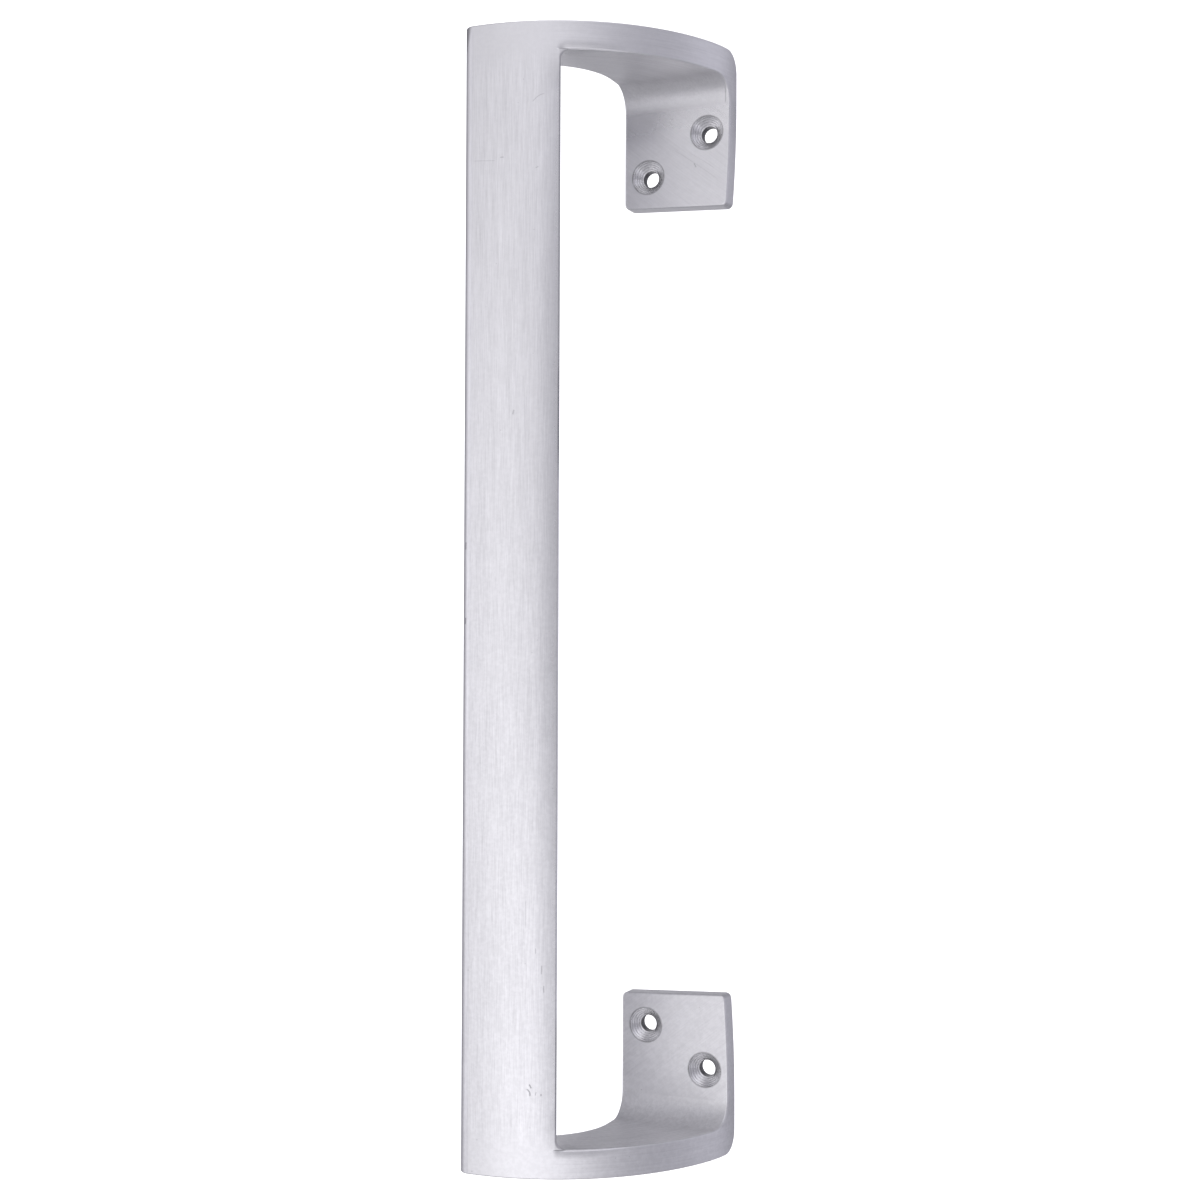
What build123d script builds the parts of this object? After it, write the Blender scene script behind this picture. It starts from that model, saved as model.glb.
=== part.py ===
from build123d import *
from math import atan2, cos, degrees, radians, sin, sqrt
import os

# Offset door pull handle: one aluminium casting, in millimetres.
# X runs across the door, Y points into it and Z points up. The door face is Y = 0.
# The origin is on the door face, midway between the feet and between the two screw columns.

# Whole casting
overall_length = 305.0
overall_width = 60.5
projection = 50.0

# Grip bar
grip_width = 27.0
grip_thickness = 13.0
grip_front_round = 3.5
grip_back_round = 4.0
grip_back_run = 3.7
flank_draft = 12.0

# Arms: flat ends that sweep round from the grip to the feet
arm_thickness = 7.8
crown_turn = 68.6
crotch_radius = 2.5

# Feet: flat pads that point towards each other
foot_width = 31.8
foot_outer_height = 43.4
foot_inner_height = 41.9
foot_thickness = 5.0
foot_taper = 1.1
foot_corner_radius = 1.6
heel_radius = 6.0
instep_radius = 6.5

# Screw holes, two in each foot on a slant, measured in from the end of the casting
screw_pitch_across = 17.5
outer_screw_inset = 22.4
inner_screw_inset = 33.3
screw_bore = 4.6
countersink_diameter = 9.5
countersink_angle = 90.0

# Broken edges, round the hand opening and round the two ends
opening_edge_radius = 0.5
end_edge_radius = 0.3

# Overrun of cutting shapes past the surfaces they cut
overrun = 10.0

# Places that follow from the sizes above
half_length = overall_length / 2
arm_inner_z = half_length - arm_thickness
outer_tip_z = half_length - foot_outer_height
inner_tip_z = half_length - foot_inner_height
foot_right = foot_width / 2
foot_left = -foot_right
grip_left = foot_right - overall_width
crest_x = grip_left + grip_front_round

# The inner sweep starts where the run of the grip's back ends, past its rounded edge
inner_sweep_radius = foot_left - grip_left - grip_back_round - grip_back_run

# From its crest the front turns on the wide arc of the crown, then on the tighter outer sweep to the foot
sweep_span = foot_right - crest_x
turn_sine = sin(radians(crown_turn))
turn_cosine = cos(radians(crown_turn))
turn_excess = turn_sine + turn_cosine - 1
crown_radius = (sweep_span * turn_cosine - projection * (1 - turn_sine)) / turn_excess
outer_sweep_radius = (projection * turn_sine - sweep_span * (1 - turn_cosine)) / turn_excess
crown_centre = Vector(crest_x, crown_radius - projection)
sweep_centre = Vector(foot_right - outer_sweep_radius, 0)
back_radius = crown_radius - grip_thickness


# Point at x on an arc about the crown centre, on the side away from the door
def on_arc(x, radius):
    across = x - crown_centre.X
    return Vector(x, crown_centre.Y - sqrt(radius**2 - across**2))


# The grip's right flank draws in towards its back, from square to its crowned front
flank_front = on_arc(grip_left + grip_width, crown_radius)
flank_direction = (crown_centre - flank_front).normalized().rotate(Axis.Z, flank_draft)


# Outline seen from above: outer sweep, crowned front, grip back, inner sweep and foot
def plan_outline():
    towards_sweep = (sweep_centre - crown_centre).normalized()
    meeting = crown_centre + towards_sweep * crown_radius
    crest = Vector(crest_x, -projection)
    left_front = Vector(grip_left, grip_front_round - projection)
    back_left = on_arc(grip_left, back_radius)
    back_right = on_arc(foot_left, back_radius)
    door_left = Vector(foot_left, 0)
    door_right = Vector(foot_right, 0)
    outline = make_face(
        [
            RadiusArc(door_right, meeting, outer_sweep_radius),
            RadiusArc(meeting, crest, crown_radius),
            RadiusArc(crest, left_front, grip_front_round),
            Line(left_front, back_left),
            RadiusArc(back_left, back_right, -back_radius),
            Line(back_right, door_left),
            Line(door_left, door_right),
        ]
    )
    for corner, radius in [(back_left, grip_back_round), (back_right, inner_sweep_radius)]:
        outline = fillet(outline.vertices().sort_by_distance(corner)[0], radius)
    return outline


# Cutting shape for the space between the grip's flank, the arms and the fronts of the feet
def hand_opening():
    flank_start = flank_front - flank_direction * overrun
    flank_end = flank_front + flank_direction * ((overrun - flank_front.Y) / flank_direction.Y)
    left_edge = flank_end.X - overrun
    right_edge = foot_right + overrun

    upper_half = [(flank_start.Y, arm_inner_z), (-foot_thickness, arm_inner_z)]
    lower_half = [(y, -z) for y, z in reversed(upper_half)]
    side = make_face(Polyline(*upper_half, *lower_half, close=True))
    insteps = [
        side.vertices().sort_by_distance(Vector(-foot_thickness, z))[0]
        for z in (arm_inner_z, -arm_inner_z)
    ]
    side = fillet(insteps, instep_radius)
    between_arms = extrude(Plane.YZ.offset(left_edge) * side, right_edge - left_edge)

    right_of_grip = make_face(
        Polyline(
            flank_start,
            flank_end,
            (right_edge, flank_end.Y),
            (right_edge, flank_start.Y),
            close=True,
        )
    )
    opening = between_arms & extrude(right_of_grip, overall_length, both=True)
    crotches = [
        opening.edges().sort_by_distance(Vector(flank_front.X, flank_front.Y, z))[0]
        for z in (arm_inner_z, -arm_inner_z)
    ]
    return fillet(crotches, crotch_radius)


# Cutting shape between the tips of the feet, which are a little shorter on their inner side
def foot_gap():
    tip_left = Vector(foot_left, inner_tip_z)
    tip_right = Vector(foot_right - foot_taper, outer_tip_z)
    tip_overrun = (tip_right - tip_left).normalized() * overrun
    upper_half = [tip_left - tip_overrun, tip_right + tip_overrun]
    lower_half = [Vector(tip.X, -tip.Y) for tip in reversed(upper_half)]
    front = make_face(Polyline(*upper_half, *lower_half, close=True))
    return extrude(Plane.XZ * front, foot_thickness + overrun, both=True)


# Cutting shape that leans the upper foot's outer side in towards its tip, on one long radius
def foot_lean():
    lean_top_z = arm_inner_z - instep_radius
    lean_drop = lean_top_z - outer_tip_z
    lean_radius = (lean_drop**2 + foot_taper**2) / (2 * foot_taper)
    sweep_y = -foot_thickness - overrun
    sweep_x = sweep_centre.X + sqrt(outer_sweep_radius**2 - sweep_y**2)
    kept_plan = make_face(
        [
            Line((0, sweep_y), (0, overrun)),
            Line((0, overrun), (foot_right, overrun)),
            Line((foot_right, overrun), (foot_right, 0)),
            RadiusArc((foot_right, 0), (sweep_x, sweep_y), outer_sweep_radius),
            Line((sweep_x, sweep_y), (0, sweep_y)),
        ]
    )
    lean_axis = Axis((foot_right - lean_radius, 0, lean_top_z), (0, 1, 0))
    lean_turn = 2 * degrees(atan2(lean_drop, lean_radius))
    kept = revolve(Pos(0, 0, lean_top_z) * kept_plan, lean_axis, lean_turn)
    outer_half = Pos(foot_right / 2, 0, lean_top_z) * Box(
        foot_right / 2 + overrun,
        2 * foot_thickness,
        lean_drop + overrun,
        align=(Align.MIN, Align.CENTER, Align.MAX),
    )
    return outer_half - kept


# Round the heels, the foot corners and then the edges, each of which runs on smoothly round the casting
def rounded(casting):
    heels = [
        casting.edges().sort_by_distance(Vector(0, 0, z))[0] for z in (half_length, -half_length)
    ]
    casting = fillet(heels, heel_radius)
    tips = [(foot_left, inner_tip_z), (foot_right - foot_taper, outer_tip_z)]
    corners = [
        casting.edges().sort_by_distance(Vector(x, -foot_thickness / 2, z))[0]
        for x, tip_z in tips
        for z in (tip_z, -tip_z)
    ]
    casting = fillet(corners, foot_corner_radius)
    opening_edge = casting.edges().sort_by_distance(flank_front)[0]
    casting = fillet(opening_edge, opening_edge_radius)
    end_front = on_arc((crest_x + flank_front.X) / 2, crown_radius)
    end_edges = [
        casting.edges().sort_by_distance(Vector(end_front.X, end_front.Y, z))[0]
        for z in (half_length, -half_length)
    ]
    return fillet(end_edges, end_edge_radius)


# Through holes with their countersinks in the front faces of the feet
def screw_holes():
    foot_front = Plane(origin=(0, -foot_thickness, 0), x_dir=(1, 0, 0), z_dir=(0, -1, 0))
    hole = CounterSinkHole(
        screw_bore / 2,
        countersink_diameter / 2,
        foot_thickness + overrun,
        countersink_angle,
    )
    outer_z = half_length - outer_screw_inset
    inner_z = half_length - inner_screw_inset
    across = screw_pitch_across / 2
    places = [(across, outer_z), (-across, inner_z), (-across, -inner_z), (across, -outer_z)]
    return [foot_front * Pos(x, z) * hole for x, z in places]


# The casting is a tall prism of the plan with the hand opening cut out of it
casting = extrude(plan_outline(), half_length, both=True) - hand_opening() - foot_gap()
upper_lean = foot_lean()
casting = casting - upper_lean - mirror(upper_lean, Plane.XY)
casting = rounded(casting) - screw_holes()

os.makedirs("parts", exist_ok=True)
export_step(casting, "parts/pull_handle.step")
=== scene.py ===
import math
import bpy
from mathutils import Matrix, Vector


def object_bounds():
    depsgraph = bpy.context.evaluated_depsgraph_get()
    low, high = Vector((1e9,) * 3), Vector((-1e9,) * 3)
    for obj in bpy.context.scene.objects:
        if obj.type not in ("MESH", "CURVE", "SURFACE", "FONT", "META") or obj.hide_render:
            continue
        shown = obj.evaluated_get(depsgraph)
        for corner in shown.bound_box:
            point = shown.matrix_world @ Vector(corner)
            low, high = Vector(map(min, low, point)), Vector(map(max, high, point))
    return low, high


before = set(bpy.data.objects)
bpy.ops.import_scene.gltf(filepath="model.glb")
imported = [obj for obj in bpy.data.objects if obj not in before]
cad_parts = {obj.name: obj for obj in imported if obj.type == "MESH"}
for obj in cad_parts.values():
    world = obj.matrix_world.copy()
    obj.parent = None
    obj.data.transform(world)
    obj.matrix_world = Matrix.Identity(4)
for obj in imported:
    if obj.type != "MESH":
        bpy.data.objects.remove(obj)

cadLow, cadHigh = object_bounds()
print("loaded", sorted(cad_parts), "CAD box", list(cadLow), list(cadHigh))

mm = 0.001  # a millimetre in metres
pureWhite = (1, 1, 1)
noiseMiddle = 0.5  # the value that a noise swings about
quarterTurn = math.radians(90)


# small helpers

def deselectAll():
    bpy.ops.object.select_all(action="DESELECT")


def addNode(tree, kind, **settings):
    node = tree.nodes.new(kind)
    for name, value in settings.items():
        setattr(node, name, value)
    return node


def plug(tree, socket, value):
    if isinstance(value, bpy.types.NodeSocket):
        tree.links.new(value, socket)
    else:
        socket.default_value = value


def math2(tree, operation, first, second=0.0, clamp=False):
    node = addNode(tree, "ShaderNodeMath", operation=operation, use_clamp=clamp)
    plug(tree, node.inputs[0], first)
    plug(tree, node.inputs[1], second)
    return node.outputs[0]


def plus(tree, total, *others):
    for other in others:
        total = math2(tree, "ADD", total, other)
    return total


def minus(tree, first, second):
    return math2(tree, "SUBTRACT", first, second)


def times(tree, product, *others):
    for other in others:
        product = math2(tree, "MULTIPLY", product, other)
    return product


def square(tree, value):
    return math2(tree, "POWER", value, 2.0)


def absolute(tree, value):
    return math2(tree, "ABSOLUTE", value)


def vector2(tree, operation, first, second=(0, 0, 0)):
    node = addNode(tree, "ShaderNodeVectorMath", operation=operation)
    plug(tree, node.inputs[0], first)
    plug(tree, node.inputs[1], second)
    return node.outputs["Value" if operation in ("DOT_PRODUCT", "LENGTH") else "Vector"]


def ramp(tree, value, low, high, outLow=0.0, outHigh=1.0):
    node = addNode(tree, "ShaderNodeMapRange", interpolation_type="SMOOTHSTEP")
    ends = {"From Min": low, "From Max": high, "To Min": outLow, "To Max": outHigh}
    plug(tree, node.inputs["Value"], value)
    for name, end in ends.items():
        plug(tree, node.inputs[name], end)
    return node.outputs["Result"]


def fade(tree, value, low, high):
    return ramp(tree, value, low, high, 1.0, 0.0)


def blend(tree, share, first, second):
    node = addNode(tree, "ShaderNodeMix", data_type="FLOAT")
    plug(tree, node.inputs["Factor"], share)
    plug(tree, node.inputs["A"], first)
    plug(tree, node.inputs["B"], second)
    return node.outputs["Result"]


def split(tree, vector):
    node = addNode(tree, "ShaderNodeSeparateXYZ")
    plug(tree, node.inputs[0], vector)
    return node.outputs["X"], node.outputs["Y"], node.outputs["Z"]


def join(tree, x, y, z):
    node = addNode(tree, "ShaderNodeCombineXYZ")
    for name, value in (("X", x), ("Y", y), ("Z", z)):
        plug(tree, node.inputs[name], value)
    return node.outputs[0]


def noise(tree, vector, scale, detail, roughness):
    node = addNode(tree, "ShaderNodeTexNoise")
    values = {"Vector": vector, "Scale": scale, "Detail": detail, "Roughness": roughness}
    for name, value in values.items():
        plug(tree, node.inputs[name], value)
    return node.outputs[0]


def addShaders(tree, first, second):
    node = addNode(tree, "ShaderNodeAddShader")
    plug(tree, node.inputs[0], first)
    plug(tree, node.inputs[1], second)
    return node.outputs[0]


def startGroup(name, inputs, outputs):
    group = bpy.data.node_groups.new(name, "ShaderNodeTree")
    for title, kind in inputs:
        group.interface.new_socket(title, in_out="INPUT", socket_type="NodeSocket" + kind)
    for title in outputs:
        group.interface.new_socket(title, in_out="OUTPUT", socket_type="NodeSocketFloat")
    given = addNode(group, "NodeGroupInput").outputs
    made = addNode(group, "NodeGroupOutput").inputs
    return group, given, made


def useGroup(tree, group, **values):
    node = addNode(tree, "ShaderNodeGroup", node_tree=group)
    for name, value in values.items():
        plug(tree, node.inputs[name], value)
    return node.outputs


# camera at the photo's angle, worked out from the outline and the screw holes

cameraSetup = {
    "place": (179.26 * mm, -475.27 * mm, -10.73 * mm),
    "turn": (91.179, -0.205, 23.282),  # degrees
    "lens": 54.0,
    "sensor": 36.0,
    "nearClip": 10.0 * mm,
}


def makeCamera(setup):
    deselectAll()
    turn = [math.radians(angle) for angle in setup["turn"]]
    bpy.ops.object.camera_add(location=setup["place"], rotation=turn)
    camera = bpy.context.object
    camera.name = "photoCamera"
    camera.data.sensor_width = setup["sensor"]
    camera.data.sensor_fit = "HORIZONTAL"
    camera.data.lens = setup["lens"]
    camera.data.clip_start = setup["nearClip"]
    bpy.context.scene.camera = camera


makeCamera(cameraSetup)
print("camera set")


# pale floor well below the pull, and white paper hung behind it square to the camera, in metres

paperSetup = {
    "floorDrop": 0.75,  # below the pull's lower end
    "floorSize": 2.2,
    "paperGap": 2.6,  # from the pull back to the hanging paper
    "paperSize": 2.3,
    "paperSag": 0.06,  # how far the hanging paper bellies back
    "paperCuts": 12,  # each way, so that the belly is round
    "colour": (0.7, 0.7, 0.7),
    "reflectedGlow": 0.05,  # added where the metal mirrors the paper
}


def makePaperMaterial(setup):
    material = bpy.data.materials.new("whitePaper")
    material.use_nodes = True
    tree = material.node_tree
    tree.nodes.clear()
    paper = addNode(tree, "ShaderNodeBsdfDiffuse")
    plug(tree, paper.inputs["Color"], (*setup["colour"], 1))
    rays = addNode(tree, "ShaderNodeLightPath").outputs
    mirrored = math2(tree, "MAXIMUM", rays["Is Glossy Ray"], rays["Is Transmission Ray"])
    mirrored = times(tree, mirrored, setup["reflectedGlow"])
    glow = addNode(tree, "ShaderNodeEmission")
    plug(tree, glow.inputs["Color"], (*pureWhite, 1))
    plug(tree, glow.inputs["Strength"], plus(tree, rays["Is Camera Ray"], mirrored))
    both = addShaders(tree, paper.outputs[0], glow.outputs[0])
    plug(tree, addNode(tree, "ShaderNodeOutputMaterial").inputs["Surface"], both)
    return material


def makeFloor(setup, material):
    deselectAll()
    place = (0, 0, cadLow.z - setup["floorDrop"])
    bpy.ops.mesh.primitive_plane_add(size=setup["floorSize"], location=place)
    floor = bpy.context.object
    floor.name = "paleFloor"
    bpy.ops.object.transform_apply(location=True, rotation=True, scale=True)
    floor.data.materials.append(material)


def makeBackdrop(setup, material):
    deselectAll()
    bpy.ops.mesh.primitive_plane_add(size=setup["paperSize"], location=(0, 0, 0))
    backdrop = bpy.context.object
    backdrop.name = "hangingPaper"
    bpy.ops.object.mode_set(mode="EDIT")
    bpy.ops.mesh.select_all(action="SELECT")
    bpy.ops.mesh.subdivide(number_cuts=setup["paperCuts"])
    bpy.ops.object.mode_set(mode="OBJECT")
    half = setup["paperSize"] / 2
    for vertex in backdrop.data.vertices:  # the sheet bellies back between its edges
        vertex.co.z = -setup["paperSag"] * (1 - (vertex.co.y / half) ** 2)
    backdrop.rotation_euler = (quarterTurn, 0, math.radians(cameraSetup["turn"][2]))
    behind = Vector((0, 0, -setup["paperGap"]))
    backdrop.location = backdrop.rotation_euler.to_matrix() @ behind
    bpy.ops.object.transform_apply(location=True, rotation=True, scale=True)
    bpy.ops.object.shade_smooth()
    backdrop.data.materials.append(material)


whitePaper = makePaperMaterial(paperSetup)
makeFloor(paperSetup, whitePaper)
makeBackdrop(paperSetup, whitePaper)
print("floor and backdrop made")


# soft studio light: a pale grey room with soft lamps in front of the pull, at both sides and above

lightSetup = {
    "tints": {"white": (1.01, 1.0, 1.02), "pale": (1.01, 1.0, 1.05), "cool": (1.01, 1.0, 1.13)},
    "room": (0.25, "cool"),  # strength, tint
    "lamps": {  # azimuth from the front towards the right, elevation, tightness, strength, tint
        "left": (-60, 0, 9, 0.8, "pale"),
        "front": (-12, 3, 12, 0.53, "white"),
        "lowFront": (-6, -22, 12, 0.41, "white"),
        "low": (15, -35, 14, 1.0, "pale"),
        "high": (20, 40, 14, 0.88, "pale"),
        "lowRight": (32, -25, 12, 0.3, "white"),
        "lowSide": (60, -40, 10, 0.24, "cool"),
        "highSide": (60, 40, 10, 0.27, "cool"),
        "right": (118, 5, 8, 0.43, "cool"),
        "overhead": (0, 80, 8, 0.26, "white"),
    },
}


def lampDirection(azimuth, elevation):
    across, up = math.radians(azimuth), math.radians(elevation)
    level = math.cos(up)
    return Vector((math.sin(across) * level, -math.cos(across) * level, math.sin(up)))


def makeGlow(tree, tint, strength):
    glow = addNode(tree, "ShaderNodeBackground")
    plug(tree, glow.inputs["Color"], (*tint, 1))
    plug(tree, glow.inputs["Strength"], strength)
    return glow.outputs[0]


def makeRoom(setup):
    world = bpy.data.worlds.new("paleRoom")
    bpy.context.scene.world = world
    world.use_nodes = True
    tree = world.node_tree
    tree.nodes.clear()
    direction = addNode(tree, "ShaderNodeTexCoord").outputs["Generated"]
    strength, tint = setup["room"]
    total = makeGlow(tree, setup["tints"][tint], strength)
    for azimuth, elevation, tightness, strength, tint in setup["lamps"].values():
        aim = vector2(tree, "DOT_PRODUCT", direction, lampDirection(azimuth, elevation))
        falloff = times(tree, minus(tree, aim, 1.0), tightness)
        level = times(tree, math2(tree, "EXPONENT", falloff), strength)
        total = addShaders(tree, total, makeGlow(tree, setup["tints"][tint], level))
    path = addNode(tree, "ShaderNodeLightPath")
    seen = addNode(tree, "ShaderNodeMixShader")
    plug(tree, seen.inputs[0], path.outputs["Is Camera Ray"])
    plug(tree, seen.inputs[1], total)
    plug(tree, seen.inputs[2], makeGlow(tree, pureWhite, 1.0))
    plug(tree, addNode(tree, "ShaderNodeOutputWorld").inputs["Surface"], seen.outputs[0])


makeRoom(lightSetup)
bpy.context.scene.view_settings.view_transform = "Standard"
print("light set")


# linished lines: fine and coarse streaks that run along the third axis of the vector

linishSetup = {
    "fine": (1.0, 2.0, 0.6),  # noise scale, detail and roughness
    "coarse": (0.3, 2.0, 0.5),
    "fineShare": 0.65,
    "coarseShare": 0.35,
}


def makeLinishLines(setup):
    group, given, made = startGroup(
        "linishLines",
        [("Vector", "Vector"), ("Fineness", "Float"), ("Stretch", "Float")],
        ["Lines"],
    )
    fineness = given["Fineness"]
    along = math2(group, "DIVIDE", fineness, given["Stretch"])
    scales = join(group, fineness, fineness, along)
    squeezed = vector2(group, "MULTIPLY", given["Vector"], scales)
    fine = times(group, noise(group, squeezed, *setup["fine"]), setup["fineShare"])
    coarse = times(group, noise(group, squeezed, *setup["coarse"]), setup["coarseShare"])
    plug(group, made["Lines"], plus(group, fine, coarse))
    return group


# casting mottle under the linishing: soft patches and a finer speckle

mottleSetup = {
    "patches": (2.0, 0.5),  # noise detail and roughness
    "speckle": (3.0, 0.55),
    "speckleRange": (0.35, 0.68),
}


def makeCastMottle(setup):
    group, given, made = startGroup(
        "castMottle",
        [("Vector", "Vector"), ("Patch Scale", "Float"), ("Speckle Scale", "Float")],
        ["Patches", "Speckle"],
    )
    patches = noise(group, given["Vector"], given["Patch Scale"], *setup["patches"])
    speckle = noise(group, given["Vector"], given["Speckle Scale"], *setup["speckle"])
    plug(group, made["Patches"], patches)
    plug(group, made["Speckle"], ramp(group, speckle, *setup["speckleRange"]))
    return group


# casting pits: small dots in a few of the cells of a random net

pitSetup = {
    "smallest": 0.4,  # share of the full size
    "core": 0.3,  # share of a pit at full depth
}


def makeCastPits(setup):
    group, given, made = startGroup(
        "castPits",
        [("Vector", "Vector"), ("Scale", "Float"), ("Size", "Float"), ("Share", "Float")],
        ["Pits"],
    )
    net = addNode(group, "ShaderNodeTexVoronoi")
    plug(group, net.inputs["Vector"], given["Vector"])
    plug(group, net.inputs["Scale"], given["Scale"])
    chance, _, spread = split(group, net.outputs["Color"])
    width = times(group, given["Size"], ramp(group, spread, 0.0, 1.0, setup["smallest"], 1.0))
    dot = fade(group, net.outputs["Distance"], times(group, width, setup["core"]), width)
    chosen = math2(group, "LESS_THAN", chance, given["Share"])
    plug(group, made["Pits"], times(group, dot, chosen))
    return group


# one scratch or nick, or one line of painted shade: centre, angle, length, width and bow
# Bow is how far the middle stands off the line between the ends

markSetup = {
    "core": 0.2,  # share of the width at full depth
    "taper": (0.7, 1.0),  # shares of the half length over which the ends fade
    "reach": (3.0, 4.0),  # how far in or out from its centre a mark goes
}


def makeScratchAndShadeMark(setup):
    group, given, made = startGroup(
        "scratchAndShadeMark",
        [("Vector", "Vector"), ("Centre", "Vector"), ("Angle", "Float"), ("Length", "Float"),
         ("Width", "Float"), ("Bow", "Float")],
        ["Scratch"],
    )
    x, y, z = split(group, vector2(group, "SUBTRACT", given["Vector"], given["Centre"]))
    cosine = math2(group, "COSINE", given["Angle"])
    sine = math2(group, "SINE", given["Angle"])
    along = plus(group, times(group, x, cosine), times(group, z, sine))
    across = minus(group, times(group, z, cosine), times(group, x, sine))
    half = times(group, given["Length"], 0.5)
    share = absolute(group, math2(group, "DIVIDE", along, half))
    bend = times(group, square(group, share), given["Bow"])
    away = absolute(group, plus(group, across, bend))
    line = fade(group, away, times(group, given["Width"], setup["core"]), given["Width"])
    ends = fade(group, share, *setup["taper"])
    near = fade(group, absolute(group, y), *setup["reach"])
    plug(group, made["Scratch"], times(group, line, ends, near))
    return group


# tool marks of a countersink: rings on the cone and its dark rim; and the bore inside it, whose
# walls get painted shade

ringSetup = {
    "wobble": (0.5, 1.0, 0.5),  # noise scale, detail and roughness
    "chatter": (1.6, 2.0, 0.6),
    "chatterRange": (0.3, 0.7),
    "rimWidth": (0.05, 0.38),
    "rimReach": (0.4, 0.7),  # how far in from the foot's face the rim goes
}


def makeTurnedRingsAndBoreShade(setup):
    group, given, made = startGroup(
        "turnedRingsAndBoreShade",
        [("Vector", "Vector"), ("Centre", "Vector"), ("Cone Radius", "Float"),
         ("Bore Radius", "Float"), ("Depth", "Float"), ("Ring Pitch", "Float")],
        ["Cone", "Rings", "Rim", "Bore"],
    )
    offset = vector2(group, "SUBTRACT", given["Vector"], given["Centre"])
    x, y, z = split(group, offset)
    radius = vector2(group, "LENGTH", join(group, x, 0.0, z))
    inside = math2(group, "LESS_THAN", radius, given["Cone Radius"])
    cone = times(group, inside, math2(group, "GREATER_THAN", y, given["Depth"]))
    wobble = noise(group, offset, *setup["wobble"])
    turns = plus(group, math2(group, "DIVIDE", radius, given["Ring Pitch"]), wobble)
    rings = math2(group, "SINE", times(group, turns, 2 * math.pi))
    chatter = ramp(group, noise(group, offset, *setup["chatter"]), *setup["chatterRange"])
    fromRim = absolute(group, minus(group, radius, given["Cone Radius"]))
    atFace = fade(group, absolute(group, y), *setup["rimReach"])
    bore = math2(group, "LESS_THAN", radius, given["Bore Radius"])
    plug(group, made["Cone"], cone)
    plug(group, made["Rings"], times(group, rings, chatter, cone))
    plug(group, made["Rim"], times(group, fade(group, fromRim, *setup["rimWidth"]), atFace))
    plug(group, made["Bore"], times(group, bore, cone))
    return group


linishLines = makeLinishLines(linishSetup)
castMottle = makeCastMottle(mottleSetup)
castPits = makeCastPits(pitSetup)
scratchAndShadeMark = makeScratchAndShadeMark(markSetup)
turnedRingsAndBoreShade = makeTurnedRingsAndBoreShade(ringSetup)
print("surface groups made")


# satin aluminium of the pull, in millimetres

metalSetup = {
    "colour": (0.86, 0.857, 0.863),
    "roughness": 0.34,
    "roughnessSwing": 0.08,  # how far the patches and the lines change it
    "footRoughness": 0.42,
    "footFront": (-25.0, -12.0),  # from the grip back to the feet
    "footPolish": 0.26,  # the upper foot is smoother below its instep
    "footPolishFrom": (124.0, 133.0),
    "edgeRoughness": 0.24,  # hands have polished the soft edge of the grip
    "instepRoughness": 0.48,  # duller inside the arms and on the insteps
    "instepFrom": (137.0, 140.0),
    "instepTo": (144.5, 145.1),
    "instepFront": (-4.2, -2.8),
    # painted shade: the insides of the arms and the insteps are painted darker
    "paintedInstepShade": 0.93,
    "gripFineness": 3.0,  # lines per millimetre across the grip
    "gripStretch": 20.0,  # length of a line over its width
    "armFineness": 2.2,
    "armStretch": 30.0,
    "armCalm": 0.35,  # how far the arms' lines are evened out
    "footFineness": 2.2,
    "footStretch": 22.0,
    "footCalm": 0.5,
    "footSlant": 38.0,  # degrees down from level, towards the outer side
    "crownCentre": (-41.1, 8.6),  # the arms' lines turn about an upright axis here
    "sideFrom": (-23.0, -14.0),  # across from the grip's upright lines to the others
    "armFrom": (136.0, 142.0),  # up or down from the feet to the arms
    "linesEnd": (137.0, 148.0),  # the grip's lines fade out towards its ends
    "lineShade": 0.46,
    "lineRelief": 0.02,
    "patchScale": 0.12,
    "patchShade": 0.05,
    "patchRelief": 0.03,
    "speckleScale": 0.9,
    "speckleShade": 0.065,
    "speckleFrom": (-60.0, 120.0),  # the speckle is stronger low on the grip
    "speckleTop": 0.4,
    "pitScale": 0.7,
    "pitSize": 0.16,
    "pitShare": 0.05,
    "pitShade": 0.22,
    "pitRelief": 0.04,
    "scratchRelief": 0.06,
    "rolledEdge": (144.7, 147.2),  # the arms' inner edges are rolled over beside the grip
    "rolledFrom": (-19.0, -16.5),
    "rolledTo": (-12.0, 0.0),
    "rolledLip": (144.72, 144.95),
    "rolledDrop": 0.36,
    "softEdge": (-24.0, -17.6),  # the grip's edge along the hand opening is worn soft
    "softTo": (134.0, 144.0),
    "softFront": (-42.0, -38.0),
    "softDrop": 0.6,
    "paintedEdgeShade": (-18.2, -17.85),  # painted shade: the same edge is painted darker towards its upper and lower ends, where it mirrors a dark room
    "paintedEdgeShadeAbove": (27.0, 37.0),
    "paintedEdgeShadeBelow": (-105.0, -118.0),
    "paintedEdgeShadeLevel": 0.52,
}

countersinkSetup = {
    "centres": ((8.75, -5.0, 130.1), (-8.75, -5.0, 119.2)),  # the lower foot mirrors the upper
    "coneRadius": 4.76,
    "boreRadius": 2.34,
    "depth": 0.02,
    "ringPitch": 0.52,
    "coneShade": 0.94,
    "ringShade": 0.4,
    "ringRelief": 0.018,
    "rimShade": 0.38,
    # painted shade: the bore's walls are painted dark
    "paintedBoreShade": 0.24,
    "coneRoughness": 0.28,
}

# scratches and nicks, with two marks of painted shade among them
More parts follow.
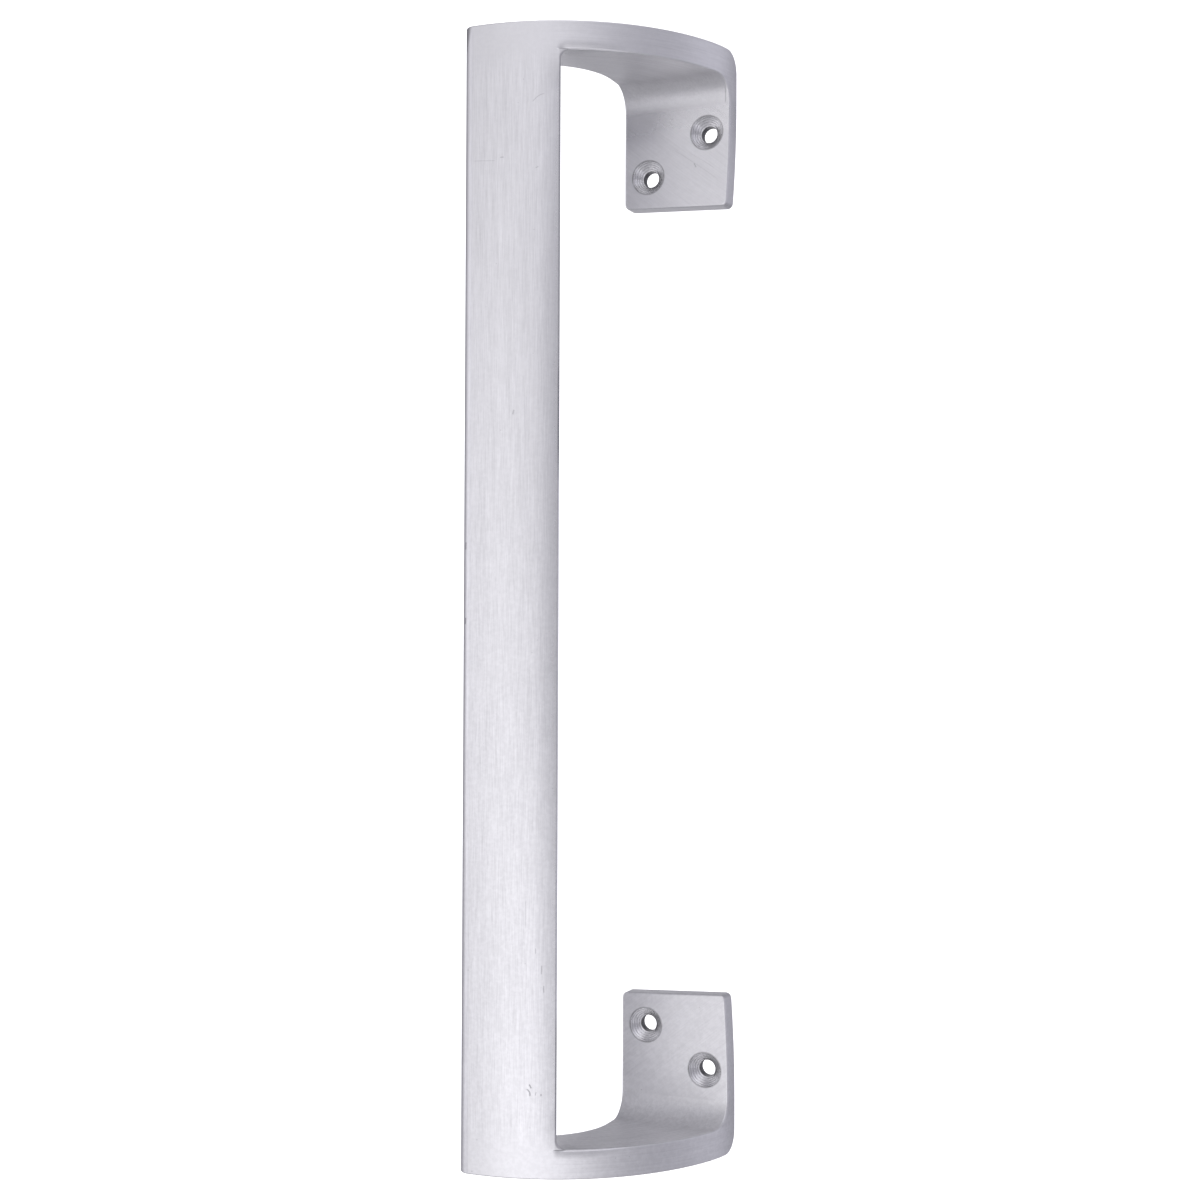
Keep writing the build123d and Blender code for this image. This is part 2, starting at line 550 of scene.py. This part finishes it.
scratchAndShadeSetup = {  # centre, angle in degrees, length, width, bow, depth of shade
    # painted shade: the facet ground off the top-left corner is painted dark as a mark
    "paintedCornerFacetShade": ((-44.4, -48.5, 147.0), 75.0, 15.0, 1.7, 0.0, 0.45),
    "topArc": ((-23.4, -47.2, 132.2), 35.0, 4.0, 0.2, 0.45, 0.2),
    "topLevel": ((-37.8, -49.9, 115.9), -4.0, 6.8, 0.16, 0.0, 0.14),
    "topDot": ((-32.8, -49.4, 116.5), 0.0, 1.1, 0.22, 0.0, 0.28),
    "topFleck": ((-23.5, -47.3, 113.4), 20.0, 0.9, 0.2, 0.0, 0.24),
    "middleDent": ((-29.4, -48.9, 48.6), 75.0, 1.5, 0.34, 0.0, 0.24),
    # painted shade: a dark line along the grip's edge by the hand opening
    "paintedRightEdgeShade": ((-17.9, -45.4, 49.0), 90.0, 26.0, 0.32, 0.0, 0.25),
    "leftNickUpper": ((-43.0, -49.4, 13.4), 86.0, 2.2, 0.42, 0.0, 0.38),
    "leftNickLower": ((-43.0, -49.4, -6.6), 86.0, 2.0, 0.42, 0.0, 0.4),
    "lowLine": ((-25.6, -47.9, -83.4), 90.0, 8.4, 0.15, 0.0, 0.16),
    "lowFleckLeft": ((-23.0, -47.2, -93.0), 90.0, 1.6, 0.18, 0.0, 0.24),
    "lowFleckMiddle": ((-21.5, -46.6, -97.9), 88.0, 2.6, 0.2, 0.0, 0.3),
    "lowFleckRight": ((-20.9, -46.4, -102.9), 90.0, 2.1, 0.2, 0.0, 0.3),
    "hookTop": ((-24.2, -47.5, -128.3), -62.0, 1.3, 0.25, 0.0, 0.45),
    "hookBottom": ((-24.4, -47.6, -129.8), -66.0, 2.3, 0.26, 0.4, 0.48),
    "hookDot": ((-22.8, -47.1, -130.2), 80.0, 1.0, 0.18, 0.0, 0.32),
    "hookEnd": ((-21.5, -46.6, -130.5), 90.0, 0.6, 0.22, 0.0, 0.4),
    "footLong": ((5.6, -5.0, 121.6), -36.0, 17.5, 0.14, 0.2, 0.09),
    "footShort": ((7.2, -5.0, 122.6), -34.0, 9.0, 0.12, 0.0, 0.08),
    "footNick": ((5.3, -5.0, 121.3), -62.0, 1.6, 0.24, 0.0, 0.26),
    "instepNick": ((14.4, -6.0, 140.0), 86.0, 4.5, 0.2, 0.0, 0.3),
}


def linesAlong(tree, vector, fineness, stretch):
    lines = useGroup(tree, linishLines, Vector=vector, Fineness=fineness, Stretch=stretch)
    return lines["Lines"]


def armLines(tree, x, y, z, setup):  # round the crown's axis, from the grip to the foot
    centreX, centreY = setup["crownCentre"]
    outX = minus(tree, x, centreX)
    outY = minus(tree, y, centreY)
    reach = math2(tree, "SQRT", plus(tree, square(tree, outX), square(tree, outY)))
    turn = math2(tree, "ARCTAN2", outX, times(tree, outY, -1.0))
    swept = join(tree, reach, z, times(tree, turn, reach))
    lines = linesAlong(tree, swept, setup["armFineness"], setup["armStretch"])
    return blend(tree, setup["armCalm"], lines, noiseMiddle)


def footLines(tree, x, y, height, setup):
    slant = math.radians(setup["footSlant"])
    cosine, sine = math.cos(slant), math.sin(slant)
    along = minus(tree, times(tree, x, cosine), times(tree, height, sine))
    across = plus(tree, times(tree, x, sine), times(tree, height, cosine))
    slanted = join(tree, across, y, along)
    lines = linesAlong(tree, slanted, setup["footFineness"], setup["footStretch"])
    return blend(tree, setup["footCalm"], lines, noiseMiddle)


def linesOverPull(tree, place, x, y, z, height, setup):
    upright = linesAlong(tree, place, setup["gripFineness"], setup["gripStretch"])
    onGrip = blend(tree, ramp(tree, height, *setup["linesEnd"]), upright, noiseMiddle)
    onArms = armLines(tree, x, y, z, setup)
    onFeet = footLines(tree, x, y, height, setup)
    others = blend(tree, ramp(tree, height, *setup["armFrom"]), onFeet, onArms)
    return blend(tree, ramp(tree, x, *setup["sideFrom"]), onGrip, others)


# darkest of the scratches, nicks and painted shade marks
def scratchesAndPaintedShadeOverPull(tree, place, scratchesAndPaintedShade):
    deepest = 0.0
    for centre, angle, length, width, bow, depth in scratchesAndPaintedShade.values():
        mark = useGroup(tree, scratchAndShadeMark, Vector=place, Centre=centre,
                        Angle=math.radians(angle), Length=length, Width=width, Bow=bow)
        deepest = math2(tree, "MAXIMUM", times(tree, mark["Scratch"], depth), deepest)
    return deepest


def countersinksOverPull(tree, mirrored, holes):
    sizes = {"Cone Radius": holes["coneRadius"], "Bore Radius": holes["boreRadius"],
             "Depth": holes["depth"], "Ring Pitch": holes["ringPitch"]}
    sums = {"Cone": 0.0, "Rings": 0.0, "Rim": 0.0, "Bore": 0.0}
    for centre in holes["centres"]:
        turned = useGroup(tree, turnedRingsAndBoreShade, Vector=mirrored, Centre=centre, **sizes)
        sums = {name: plus(tree, turned[name], total) for name, total in sums.items()}
    return sums


def footOfPull(tree, y, height, setup):
    below = fade(tree, height, *setup["instepFrom"])
    return times(tree, below, ramp(tree, y, *setup["footFront"]))


def instepOfPull(tree, x, y, height, setup):
    above = ramp(tree, height, *setup["instepFrom"])
    below = fade(tree, height, *setup["instepTo"])
    beside = ramp(tree, x, *setup["sideFrom"])
    return times(tree, above, below, beside, fade(tree, y, *setup["instepFront"]))


def shareBetween(tree, value, low, high):
    return math2(tree, "DIVIDE", minus(tree, value, low), high - low, clamp=True)


def rolledEdgeOfPull(tree, x, height, setup):
    low, high = setup["rolledEdge"]
    rolled = square(tree, shareBetween(tree, height, high, low))
    start = ramp(tree, x, *setup["rolledFrom"])
    end = fade(tree, x, *setup["rolledTo"])
    return times(tree, rolled, start, end, ramp(tree, height, *setup["rolledLip"]))


def softEdgeOfPull(tree, x, y, height, setup):
    soft = square(tree, shareBetween(tree, x, *setup["softEdge"]))
    below = fade(tree, height, *setup["softTo"])
    return times(tree, soft, below, fade(tree, y, *setup["softFront"]))


# painted shade along the grip's edge by the hand opening, towards its upper and lower ends
def paintedEdgeShadeOfPull(tree, x, y, z, height, setup):
    above = ramp(tree, z, *setup["paintedEdgeShadeAbove"])
    ends = plus(tree, above, ramp(tree, z, *setup["paintedEdgeShadeBelow"]))
    front = fade(tree, y, *setup["softFront"])
    line = ramp(tree, x, *setup["paintedEdgeShade"])
    return times(tree, line, ends, front, fade(tree, height, *setup["linesEnd"]))


def marksOverPull(tree, setup, holes, scratchesAndPaintedShade):
    metres = addNode(tree, "ShaderNodeTexCoord").outputs["Object"]
    place = vector2(tree, "MULTIPLY", metres, (1 / mm, 1 / mm, 1 / mm))
    x, y, z = split(tree, place)
    height = absolute(tree, z)
    mottleScales = {"Patch Scale": setup["patchScale"], "Speckle Scale": setup["speckleScale"]}
    mottle = useGroup(tree, castMottle, Vector=place, **mottleScales)
    pits = useGroup(tree, castPits, Vector=place, Scale=setup["pitScale"],
                    Size=setup["pitSize"], Share=setup["pitShare"])
    turned = countersinksOverPull(tree, join(tree, x, y, height), holes)
    return {
        "lines": linesOverPull(tree, place, x, y, z, height, setup),
        "patches": mottle["Patches"],
        "speckle": mottle["Speckle"],
        "speckleStrength": ramp(tree, z, *setup["speckleFrom"], 1.0, setup["speckleTop"]),
        "pits": pits["Pits"],
        "scratchesAndPaintedShade": scratchesAndPaintedShadeOverPull(tree, place, scratchesAndPaintedShade),
        "foot": footOfPull(tree, y, height, setup),
        "footPolish": ramp(tree, z, *setup["footPolishFrom"]),
        "instep": instepOfPull(tree, x, y, height, setup),
        "rolledEdge": rolledEdgeOfPull(tree, x, height, setup),
        "softEdge": softEdgeOfPull(tree, x, y, height, setup),
        "paintedEdgeShade": paintedEdgeShadeOfPull(tree, x, y, z, height, setup),
        "cone": turned["Cone"],
        "rings": turned["Rings"],
        "rim": turned["Rim"],
        "bore": turned["Bore"],
        "plain": minus(tree, 1.0, turned["Cone"]),  # all but the countersinks
    }


def centred(tree, value, amount):
    return times(tree, minus(tree, value, noiseMiddle), amount)


def shadeOfPull(tree, marks, setup, holes):
    specks = centred(tree, marks["speckle"], setup["speckleShade"])
    shade = plus(
        tree,
        centred(tree, marks["lines"], setup["lineShade"]),
        centred(tree, marks["patches"], setup["patchShade"]),
        times(tree, specks, marks["speckleStrength"]),
        times(tree, marks["pits"], -setup["pitShade"]),
    )
    shade = times(tree, minus(tree, shade, marks["scratchesAndPaintedShade"]), marks["plain"])
    shade = plus(
        tree,
        shade,
        times(tree, marks["rings"], holes["ringShade"]),
        times(tree, marks["rim"], -holes["rimShade"]),
        1.0,
    )
    # painted shade on the insteps, on the ends of the grip's edge and in the bores; the cones take
    # a flat darker tone
    darker = {
        "instep": setup["paintedInstepShade"],
        "paintedEdgeShade": setup["paintedEdgeShadeLevel"],
        "cone": holes["coneShade"],
        "bore": holes["paintedBoreShade"],
    }
    for name, level in darker.items():
        shade = times(tree, shade, blend(tree, marks[name], 1.0, level))
    return shade


def roughnessOfPull(tree, marks, setup, holes):
    onFoot = blend(tree, marks["footPolish"], setup["footRoughness"], setup["footPolish"])
    roughness = blend(tree, marks["foot"], setup["roughness"], onFoot)
    others = {
        "instep": setup["instepRoughness"],
        "softEdge": setup["edgeRoughness"],
        "cone": holes["coneRoughness"],
    }
    for name, level in others.items():
        roughness = blend(tree, marks[name], roughness, level)
    swing = minus(tree, marks["patches"], marks["lines"])
    swing = times(tree, swing, setup["roughnessSwing"])
    return math2(tree, "ADD", swing, roughness, clamp=True)


def reliefOfPull(tree, marks, setup, holes):
    relief = times(tree, marks["lines"], setup["lineRelief"], marks["plain"])
    heights = {
        "patches": setup["patchRelief"],
        "pits": -setup["pitRelief"],
        "scratchesAndPaintedShade": -setup["scratchRelief"],
        "rings": holes["ringRelief"],
        "rolledEdge": -setup["rolledDrop"],
        "softEdge": -setup["softDrop"],
    }
    for name, height in heights.items():
        relief = plus(tree, relief, times(tree, marks[name], height))
    return relief


def makeSatinAluminium(setup, holes, scratchesAndPaintedShade):
    material = bpy.data.materials.new("satinAluminium")
    material.use_nodes = True
    tree = material.node_tree
    marks = marksOverPull(tree, setup, holes, scratchesAndPaintedShade)
    tint = addNode(tree, "ShaderNodeVectorMath", operation="SCALE")
    plug(tree, tint.inputs[0], setup["colour"])
    plug(tree, tint.inputs["Scale"], shadeOfPull(tree, marks, setup, holes))
    bump = addNode(tree, "ShaderNodeBump")
    plug(tree, bump.inputs["Strength"], 1.0)
    plug(tree, bump.inputs["Distance"], mm)
    plug(tree, bump.inputs["Height"], reliefOfPull(tree, marks, setup, holes))
    shader = tree.nodes["Principled BSDF"]
    plug(tree, shader.inputs["Base Color"], tint.outputs["Vector"])
    plug(tree, shader.inputs["Roughness"], roughnessOfPull(tree, marks, setup, holes))
    plug(tree, shader.inputs["Normal"], bump.outputs["Normal"])
    shader.inputs["Metallic"].default_value = 1.0
    return material


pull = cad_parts["pull_handle"]
satinAluminium = makeSatinAluminium(metalSetup, countersinkSetup, scratchAndShadeSetup)
pull.material_slots[0].material = satinAluminium
print("metal set")
